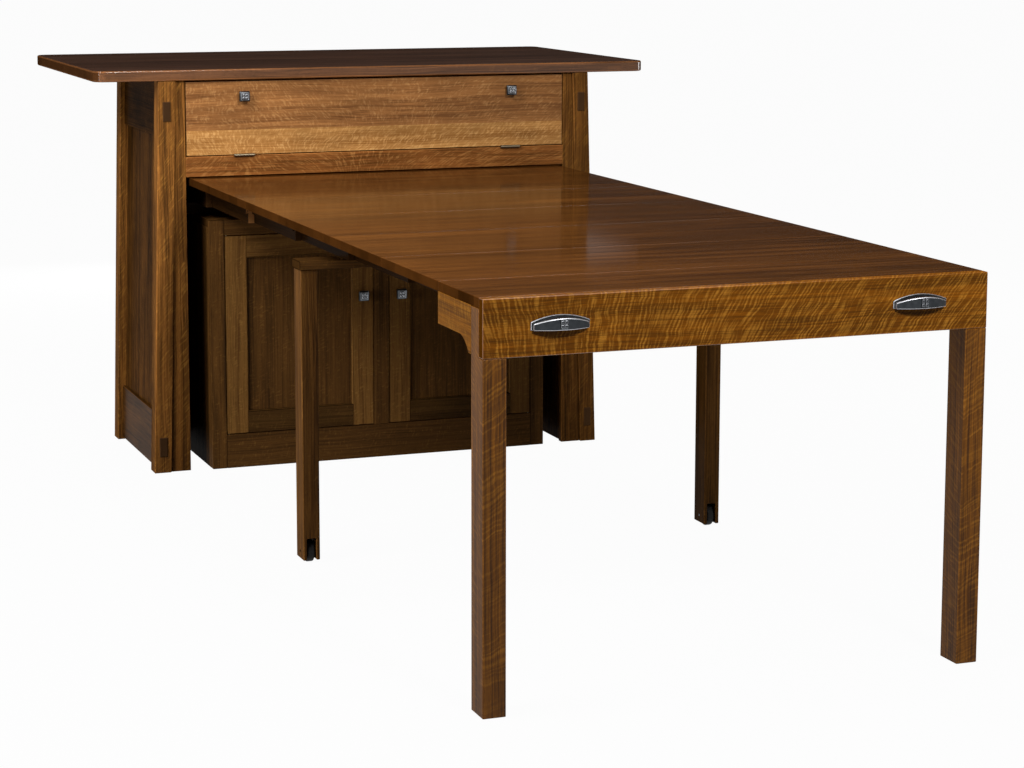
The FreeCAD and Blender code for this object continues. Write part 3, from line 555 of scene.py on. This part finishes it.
# painted light and shade: the right leg darkens towards the floor and lightens towards the crossbar, and the
# left stays nearly even
rolling_tones = {"left": (0.02, -0.04), "right": (-0.42, 0.22)}
for word, side in sides.items():
    plank("crossbar_pad_" + word, Z, cabinet_oak, "mid_frame", "crossbar",
          {X: beside(side, pad_out - bar_thick, pad_out), Z: (pads_top - pad_high, pads_top)}, ease=0.4)
    outline = [(leg_in, leg_foot), (leg_in + cheek, leg_foot), (leg_in + cheek, slot_top),
               (leg_out - cheek, slot_top), (leg_out - cheek, leg_foot), (leg_out, leg_foot),
               (leg_out, leg_head), (leg_in, leg_head)]
    node = "mid_leg_" + word
    board("mid_leg_oak_" + word, Y, [(side * x, z) for x, z in outline], extent(node, Y), rolling_leg_oak,
          "mid_frame", node, ease=2.0, along=Z, tone=rolling_tones[word])


# Front legs, brackets and apron. Oak legs 45 by 61 mm are lapped behind a deep apron of strongly figured
# quarter-sawn oak, whose ray flecks fan out over its whole length. Curved brackets brace the legs to the
# sides. The legs' stain is the warmest, with long soft flecks, and the brackets' is a plainer gold.
leg_oak = oak("stained_oak_legs", "#2c1705", "#633b0c", "#986620", fleck=0.26, lean=((0.0, 0.3), (1.0, 0.7)),
              spacing=9.0, ray_length=60.0, figure=0.34, cover=0.42, soft=0.34, order=0.04, coat=0.24)
apron_oak = oak("stained_oak_apron", "#432504", "#744209", "#b07a2c", fleck=0.46,
                lean=((0.0, -0.34), (0.1, -0.04), (0.3, 0.25), (0.5, 0.6), (1.0, 0.75)), spacing=7.5,
                ray_length=80.0, figure=0.42, cover=0.42, soft=0.30, order=0.06, contrast=0.8, edge_light_and_wear=0.5,
                coat=0.10, polish=0.9)
golden_oak = oak("stained_oak_bracket", "#43270a", "#6e430d", "#8f6522", fleck=0.3, spacing=8.0, figure=0.28)
plank("apron_oak_board", Y, apron_oak, "table_end", "apron", ease=1.5, tone=(-0.10, 0.14),
      slot="oak_golden_stain")
apron_low = extent("apron", Z)[0]
leg_back, leg_top = extent("front_leg_right", Y)[1], extent("front_leg_right", Z)[1]
# painted light and shade: the left leg darkens towards the floor, and the right one is lighter all over, most
# at the top
leg_tones = {"left": (-0.26, 0.14), "right": (0.12, 0.42)}
bracket_thick, bracket_tip = 20.0, 60.0
curve_radius, curve_from_leg, curve_end = 60.0, 65.0, 147.77
bracket_far, half_wide = extent("corner_brackets", Y)[1], extent("corner_brackets", X)[1]
for word, side in sides.items():
    outline = [(apron_face, 0), (leg_back, 0), (leg_back, leg_top), (apron_back, leg_top),
               (apron_back, apron_low), (apron_face, apron_low)]
    node = "front_leg_" + word
    board("front_leg_oak_" + word, X, outline, extent(node, X), leg_oak, "table_end", node, ease=2.0, along=Z,
          tone=leg_tones[word], slot="oak_golden_stain")

    # the bracket's underside runs level from its tip, then curves down towards the leg
    tip_low = leg_top - bracket_tip
    outline = [(leg_back, apron_low), (leg_back, leg_top), (bracket_far, leg_top), (bracket_far, tip_low)]
    for step in range(15):
        turn = math.radians(90 + (curve_end - 90) * step / 14)
        outline.append((leg_back + curve_from_leg + curve_radius * math.cos(turn),
                        tip_low - curve_radius + curve_radius * math.sin(turn)))
    board("bracket_" + word, X, outline, beside(side, half_wide - bracket_thick, half_wide), golden_oak,
          "table_end", "corner_brackets", ease=1.0, along=Y, slot="oak_golden_stain")


# Table top. A fixed front board and six loose leaves, 348 mm each, glued up of staves with the grain across
# the table and lined up by wooden dowels. Stained redder than the rest, under a smoother varnish that
# mirrors the case and the pale wall.
table_oak = oak("stained_oak_table_top", "#341b08", "#633b16", "#7c5024", fleck=0.12, stave=82.0, joint=0.05,
                edge_light_and_wear=0.15, coat=0.6, coat_rough=0.10, end_tone=-0.58)
# painted light and shade: the front board and every leaf are lighter at the left end and darker at the right,
# as the light falls from the left
plank("front_board_oak", Z, table_oak, "table_end", "front_board", tone=(0.14, -0.16),
      slot="oak_table_stain")
leaf_pitch, leaf_gap = 348.0, 0.2
first_leaf = extent("leaves", Y)[0] - leaf_gap
for number, leaf_tone in enumerate((0.0, 0.03, -0.03, 0.02, -0.02, 0.0)):
    front = first_leaf + leaf_pitch * number
    plank("leaf_" + str(number + 1), Z, table_oak, "table_end", "leaves",
          {Y: (front + leaf_gap, front + leaf_pitch - leaf_gap)}, ease=0.9,
          tone=(leaf_tone + 0.14, leaf_tone - 0.16), slot="oak_table_stain")


# Top slab. Seven staves of oak glued up 28 mm thick, with rounded corners and an eased rim. It overhangs the
# case far at the back, for stools, and at both ends. Its upper face took the darkest, greyest stain and is
# rubbed matt, and its rim is left warmer and glossy.
slab_oak = oak("stained_oak_slab", "#281c16", "#452f24", "#553d2d", fleck=0.1, stave=104.0, joint=0.12,
               coat=0.06, coat_rough=0.3)
rim_oak = oak("stained_oak_slab_rim", "#36200f", "#643f23", "#845a31", fleck=0.1, edge_light_and_wear=0.9, coat=0.6,
              coat_rough=0.16)
corner = 30.0
slab_half = extent("top_slab", X)[1] - corner
slab_near, slab_far = extent("top_slab", Y)
slab_near, slab_far = slab_near + corner, slab_far - corner
rim = []
for x, y, first in ((slab_half, slab_far, 0), (-slab_half, slab_far, 90), (-slab_half, slab_near, 180),
                    (slab_half, slab_near, 270)):
    for step in range(9):
        turn = math.radians(first + step * 90 / 8)
        rim.append((x + corner * math.cos(turn), y + corner * math.sin(turn)))
slab = board("top_slab_oak", Z, rim, extent("top_slab", Z), slab_oak, "case", "top_slab", ease=4.0)
slab.data.materials.append(rim_oak)
for face in slab.data.polygons:
    if face.normal.z < 0.8:
        face.material_index = 1


# Knobs and pulls. Cast pewter, blackened in a bath and then rubbed, so that the rims and raised squares are
# bright and the fields between them stay nearly black: square knobs on a round stem, and hollow bow pulls,
# arched on top and open below, on an arched plate. A screw from inside the board holds each.
pewter, tree = new_finish("blackened_and_rubbed_pewter")
place = add(tree, "TexCoord", {}).outputs["Object"]
rubbed = add(tree, "Attribute", {}, attribute_name="rubbed").outputs["Fac"]

# clouds of patina some 9 mm wide, and the mould's 0.3 mm sand grit, drawn 0.9 mm so that it shows
patina = add(tree, "TexNoise", {"Vector": place, "Scale": 1000 / 9, "Detail": 3.0})
grit = add(tree, "TexNoise", {"Vector": place, "Scale": 1000 / 0.9, "Detail": 2.0})
dark_field = add(tree, "Mix", {0: patina, 6: linear("#26292c"), 7: linear("#45484b")}, data_type="RGBA")
bright_rim = add(tree, "Mix", {0: patina, 6: linear("#a2a4a8"), 7: linear("#cfd0d4")}, data_type="RGBA")
colour = add(tree, "Mix", {0: rubbed, 6: dark_field.outputs[2], 7: bright_rim.outputs[2]}, data_type="RGBA")
dull = add(tree, "MapRange", {"Value": patina, "To Min": 0.36, "To Max": 0.52})
burnished = add(tree, "Math", {0: rubbed, 1: 0.10, 2: dull}, operation="MULTIPLY_ADD")
bump = add(tree, "Bump", {"Height": grit, "Distance": 0.06 * mm, "Strength": 0.4})
metal = add(tree, "BsdfPrincipled", {"Base Color": colour.outputs[2], "Metallic": 1.0,
                                     "Normal": bump, "Roughness": burnished})
add(tree, "OutputMaterial", {"Surface": metal})
little_rubbed = 0.35


def casting(name, sketch, bright, soft, body, node):
    """Finishes a cast piece: bright are its rubbed faces, and soft those that are rubbed a little."""
    bmesh.ops.recalc_face_normals(sketch, faces=sketch.faces)
    sketch.faces.index_update()
    shares = {face.index: 1.0 for face in bright} | {face.index: little_rubbed for face in soft}
    mesh = bpy.data.meshes.new(name)
    sketch.to_mesh(mesh)
    sketch.free()
    worn = mesh.attributes.new("rubbed", "FLOAT", "FACE")
    for face in mesh.polygons:
        worn.data[face.index].value = shares.get(face.index, 0.0)
    mesh.materials.append(pewter)
    mesh.shade_smooth()
    mesh.set_sharp_from_angle(angle=math.radians(38))
    piece = bpy.data.objects.new(name, mesh)
    scene.collection.objects.link(piece)
    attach(piece, body)
    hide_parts(node)


def stepped(sketch, rings, middle, bright, rubbed_steps):
    """Skins a stack of rings that face forward, each a list of (x, y, z) in mm, and closes both its ends."""
    skin = [[sketch.verts.new((Vector(point) + Vector(middle)) * mm) for point in ring] for ring in rings]
    for step in range(len(skin) - 1):
        for number in range(len(skin[0])):
            after = (number + 1) % len(skin[0])
            face = sketch.faces.new((skin[step][number], skin[step][after], skin[step + 1][after],
                                     skin[step + 1][number]))
            if step in rubbed_steps:
                bright.append(face)
    closing = sketch.faces.new(skin[-1])
    if len(skin) - 1 in rubbed_steps:
        bright.append(closing)
    sketch.faces.new(list(reversed(skin[0])))


def square_ring(half, y, corner=0.0):
    """A square with cut corners, half as wide as it says, at a depth."""
    near = half - corner
    if not corner:
        return [(-half, y, -half), (half, y, -half), (half, y, half), (-half, y, half)]
    return [(-near, y, -half), (near, y, -half), (half, y, -near), (half, y, near), (near, y, half),
            (-near, y, half), (-half, y, near), (-half, y, -near)]


def four_squares(sketch, middle, bright):
    """Two by two raised squares, 5.5 mm wide and 2 mm apart, with rubbed shoulders."""
    for across in (-3.75, 3.75):
        for up in (-3.75, 3.75):
            rings = [square_ring(2.75, 0.0), square_ring(2.75, -0.9), square_ring(1.9, -1.4)]
            stepped(sketch, rings, Vector(middle) + Vector((across, 0, up)), bright, (1,))


knob_half, knob_field = 13.0, 20.2
flap_knobs_in = extent("flap_knobs", X)[1] - knob_half
knob_places = [("flap_knob_" + word, side * flap_knobs_in, "fall_flap", "flap_knobs")
               for word, side in sides.items()]
knob_places += [(word + "_door_square_knob", sum(extent(word + "_door_knob", X)) / 2, word + "_door",
                 word + "_door_knob") for word in sides]
for name, x, body, node in knob_places:
    sketch = bmesh.new()
    bright, soft = [], []
    face, z = extent(node, Y)[1], sum(extent(node, Z)) / 2
    head = [square_ring(12.0, -9.0, 1.0), square_ring(knob_half, -10.0, 1.2),
            square_ring(knob_half, -18.0, 1.2), square_ring(10.4, -20.6, 0.9), square_ring(9.0, -21.0, 0.8),
            square_ring(8.4, -knob_field, 0.7)]
    stepped(sketch, head, (x, face, z), soft, (3, 4))
    four_squares(sketch, (x, face - knob_field, z), bright)
    turns = [math.radians(15 * step) for step in range(24)]
    stem = [[(radius * math.cos(turn), level, radius * math.sin(turn)) for turn in turns]
            for level, radius in ((0.0, 8.5), (-1.2, 8.5), (-2.4, 6.5), (-9.0, 6.5))]
    stepped(sketch, stem, (x, face, z), bright, ())
    casting(name, sketch, bright, soft, body, node)

plate_thick, plate_ends = 2.5, 14.5
pull_wall, pull_half, hood_ends, hood_bulge, hood_end_top, hood_rise = 2.5, 52.0, 8.0, 14.0, 12.0, 10.0
squares_out, squares_up = 21.3, 10.9
for word, side in sides.items():
    node = "pull_" + word
    base, plate_top = extent(node, Z)
    left, right = extent(node, X)
    centre = (left + right) / 2
    sketch = bmesh.new()
    bright, soft = [], []

    # the plate, arched on top, with a rubbed rim
    plate = []
    plate_rise = plate_top - base - plate_ends
    for grow, y in ((0.0, 0.0), (0.0, -1.4), (-0.9, -plate_thick)):
        half = (right - left) / 2 + grow
        ring = [(-half, y, -grow), (half, y, -grow)]
        for step in range(25):
            share = 1 - step / 12
            ring.append((share * half, y, plate_ends + grow + plate_rise * (1 - share * share)))
        plate.append(ring)
    stepped(sketch, plate, (centre, apron_face, base), bright, (1,))

    # the hood: sections at stations along it, first the outer skin from the plate over the rim to the lip,
    # then the inner one; the field round the squares is let in 0.7 mm, with close stations at its ends
    stations = sorted([pull_half * number / 14 for number in range(-13, 14) if abs(number) != 2] +
                      [-pull_half, pull_half, -(pull_half - pull_wall), pull_half - pull_wall, -8.2, -7.6,
                       7.6, 8.2])
    outer, inner, heels = [], [], []
    for x in stations:
        share = x / pull_half
        reach = hood_ends + hood_bulge * (1 - share * share)
        top = hood_end_top + hood_rise * (1 - share * share)
        rows = [(plate_thick, top), (reach - 2.2, top), (reach - 0.7, top - 0.5), (reach, top - 1.8)]
        low, high = 1.2, top - 1.8
        for part in (0.95, 0.90, 0.10, 0.05):
            let_in = 0.7 if abs(x) < 8 and part in (0.90, 0.10) else 0.0
            rows.append((reach - let_in, low + (high - low) * part))
        rows += [(reach, 1.2), (reach - 0.5, 0.3), (reach - 1.2, 0.0), (reach - pull_wall, 0.0)]
        roof = [(reach - pull_wall, top - pull_wall), (plate_thick, top - pull_wall)]
        hollow = abs(x) < pull_half - pull_wall + 0.1
        solid = abs(x) > pull_half - pull_wall - 0.1
        for skin, points in ((outer, rows), (inner, roof if hollow else []),
                             (heels, [(plate_thick, 0.0)] if solid else [])):
            skin.append([sketch.verts.new(Vector((centre + x, apron_face - y, base + z)) * mm)
                         for y, z in points])
    last = len(stations) - 1
    for station in range(last):
        here, there = outer[station], outer[station + 1]
        for row in range(len(here) - 1):
            face = sketch.faces.new((here[row], there[row], there[row + 1], here[row + 1]))
            if row in (1, 2, 8, 9):
                bright.append(face)
        near, far = inner[station], inner[station + 1]
        if near and far:
            sketch.faces.new((here[-1], there[-1], far[0], near[0]))
            sketch.faces.new((near[0], far[0], far[1], near[1]))
            sketch.faces.new((near[1], far[1], there[0], here[0]))
    for end, near in ((0, 1), (last, last - 1)):
        heel, next_heel = heels[end] + heels[near]
        bright.append(sketch.faces.new(outer[end] + [heel]))
        sketch.faces.new((outer[end][-1], outer[near][-1], next_heel, heel))
        sketch.faces.new((outer[near][-1], inner[near][0], inner[near][1], next_heel))
        sketch.faces.new((outer[end][0], heel, next_heel, inner[near][1], outer[near][0]))
    four_squares(sketch, (centre, apron_face - squares_out, base + squares_up), soft)
    casting("bow_pull_" + word, sketch, bright, soft, "table_end", node)


# Hinges, pivots and axles. Butt hinges and door pivots of aged brass, brown with handling, and drawn steel
# axles and shelf pins, grey and a little bright. They are pressed or turned parts, let in flush and screwed
# or driven home.
def turned_metal(name, colour, roughness):
    """Drawn or rolled metal. The rolls' lines are 0.1 mm apart, and drawn 0.5 mm so that they show."""
    material, tree = new_finish(name)
    place = add(tree, "TexCoord", {}).outputs["Object"]
    rolled = patches(tree, place, 12, 0.5, 2.0)
    dull = add(tree, "MapRange", {"Value": rolled, "To Min": roughness - 0.08, "To Max": roughness + 0.08})
    bump = add(tree, "Bump", {"Height": rolled, "Distance": 0.05 * mm, "Strength": 0.4})
    metal = add(tree, "BsdfPrincipled", {"Base Color": linear(colour), "Metallic": 1.0,
                                         "Roughness": dull, "Normal": bump})
    add(tree, "OutputMaterial", {"Surface": metal})
    return material


def dress(node, finish):
    """Gives a CAD node that already has the right shape its finish, with its faces joined up."""
    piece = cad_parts[node]
    piece.data.materials.clear()
    piece.data.materials.append(finish)
    piece.modifiers.new("join faces", "WELD").merge_threshold = 0.002 * mm


brass = turned_metal("aged_brass", "#766a56", 0.42)
steel = turned_metal("drawn_steel", "#6c6c6e", 0.36)
for node in ("flap_hinge_plates", "flap_hinge_leaves", "flap_hinge_pins", "door_pivots"):
    dress(node, brass)
for node in ("caster_axles", "shelf_pins"):
    dress(node, steel)


# Dowels. Turned beech pegs, glued into one leaf's edge and loose in the next, so that the leaves line up.
# They are left bare, pale and dull, with fibres that show 1.5 mm wide and 14 mm long, along the peg.
def speckled(name, speck, detail, dark, light, **more):
    """A dull finish of two colours in specks, whose size along X, Y and Z is in mm."""
    material, tree = new_finish(name)
    place = add(tree, "TexCoord", {}).outputs["Object"]
    room = add(tree, "VectorMath", {0: place, 1: [1000 / size for size in speck]}, operation="MULTIPLY")
    specks = add(tree, "TexNoise", {"Vector": room, "Scale": 1.0, "Detail": detail})
    colour = add(tree, "Mix", {0: specks, 6: linear(dark), 7: linear(light)}, data_type="RGBA")
    bump = add(tree, "Bump", {"Height": specks, "Distance": 0.1 * mm, "Strength": 0.4})
    dull = add(tree, "BsdfPrincipled", {"Base Color": colour.outputs[2], "Roughness": 0.6,
                                        "Normal": bump, **more})
    add(tree, "OutputMaterial", {"Surface": dull})
    return material


beech = speckled("bare_beech_dowels", (1.5, 14, 1.5), 3.0, "#a9825a", "#d0ad82")
dress("leaf_dowels", beech)


# Wheels. Moulded rubber treads that turn on the axles in the legs' slots. Nearly black and dull, with
# patches of floor dust some 5 mm wide.
rubber = speckled("grey_rubber_tread", (5, 5, 5), 4.0, "#0e0e0e", "#232221", **{"Specular IOR Level": 0.15})
for node in ("caster_left", "caster_right"):
    dress(node, rubber)


# Studio. A pale floor runs on past the view to a low pale wall all round. The main lamp stands high in front,
# a little to the right, as the pulls' and knobs' shadows tell; others stand high at the left and behind, and
# three low ones light the faces that these miss. Above the wall it is dark, to keep the tops' mirror deep.
floor_mesh = bpy.data.meshes.new("studio_floor")

# in metres: how far the floor reaches, and how high its wall is
reach, wall, turns = 60.0, 4.0, 96
round_it = [(reach * math.cos(math.tau * step / turns), reach * math.sin(math.tau * step / turns))
            for step in range(turns)]
floor_mesh.from_pydata([(x, y, z) for z in (0.0, wall) for x, y in round_it], [], [tuple(range(turns))] + [
    (step, (step + 1) % turns, (step + 1) % turns + turns, step + turns) for step in range(turns)])
floor = bpy.data.objects.new("studio_floor", floor_mesh)
scene.collection.objects.link(floor)

# paper that is white to the camera and in mirrors, and a mid grey to soft light, so that it lifts no shadow
paper, tree = new_finish("white_paper_floor")
seen = add(tree, "LightPath", {})
shown = add(tree, "Math", {0: seen.outputs["Is Camera Ray"], 1: seen.outputs["Is Glossy Ray"]},
            operation="MAXIMUM")
share = add(tree, "Math", {0: shown, 1: 0.97}, operation="MULTIPLY")
matt = add(tree, "BsdfDiffuse", {"Color": linear("#898989")})
glow = add(tree, "Emission", {"Color": linear("#ffffff"), "Strength": 1.0})
blend = add(tree, "MixShader", {0: share, 1: matt, 2: glow})
add(tree, "OutputMaterial", {"Surface": blend})
floor_mesh.materials.append(paper)

world = bpy.data.worlds.new("dark_studio")
scene.world = world
world.use_nodes = True
world.node_tree.nodes["Background"].inputs["Color"].default_value = linear("#fffdf9")
world.node_tree.nodes["Background"].inputs["Strength"].default_value = 0.02


def lamp(name, place, target, width, height, power):
    """A flat white studio lamp of a size in metres, turned towards a point, with its power in watts."""
    light = bpy.data.lights.new(name, "AREA")
    light.shape = "RECTANGLE"
    light.size, light.size_y = width, height
    light.energy = power
    stand = bpy.data.objects.new(name, light)
    stand.location = place
    stand.rotation_euler = (Vector(target) - Vector(place)).to_track_quat("-Z", "Y").to_euler()
    scene.collection.objects.link(stand)


lamp("front_lamp", (0.5, -6.6, 4.3), (0.0, -0.8, 0.7), 1.0, 0.8, 430)
lamp("left_lamp", (-3.2, -2.1, 3.4), (-0.4, -0.7, 0.5), 2.0, 1.6, 240)
lamp("back_lamp", (2.4, 3.8, 4.4), (0.1, 0.2, 0.6), 1.6, 1.6, 60)
lamp("low_lamp", (-4.2, -1.8, 0.8), (0.0, -1.2, 0.4), 1.2, 0.6, 56)
lamp("low_back_lamp", (0.3, 4.0, 0.8), (0.0, 0.3, 0.55), 1.2, 0.5, 110)
lamp("low_right_lamp", (4.4, 0.5, 0.8), (0.4, -0.5, 0.5), 2.8, 0.6, 90)


# Camera. Placed by fitting the drawn sizes to the photograph: an 88 mm lens some 6.5 m from the case and
# 1.4 m up, looking a little down, with its frame shifted down as well.
camera = bpy.data.cameras.new("camera")
camera.lens = 87.90
camera.sensor_width = 36.0
camera.shift_y = -0.0918
camera.clip_start, camera.clip_end = 0.1, 400.0
stand = bpy.data.objects.new("camera", camera)
yaw, tilt, roll = math.radians(20.683), math.radians(8.441), math.radians(-0.103)
forward = Vector((math.sin(yaw) * math.cos(tilt), math.cos(yaw) * math.cos(tilt), -math.sin(tilt)))
right = Vector((math.cos(yaw), -math.sin(yaw), 0.0))
down = forward.cross(right)
turned_right = right * math.cos(roll) + down * math.sin(roll)
turned_down = down * math.cos(roll) - right * math.sin(roll)
facing = Matrix((turned_right, -turned_down, -forward)).transposed()
stand.matrix_world = Matrix.Translation((-1.9851, -6.2457, 1.4195)) @ facing.to_4x4()
scene.collection.objects.link(stand)
scene.camera = stand
scene.view_settings.view_transform = "Standard"
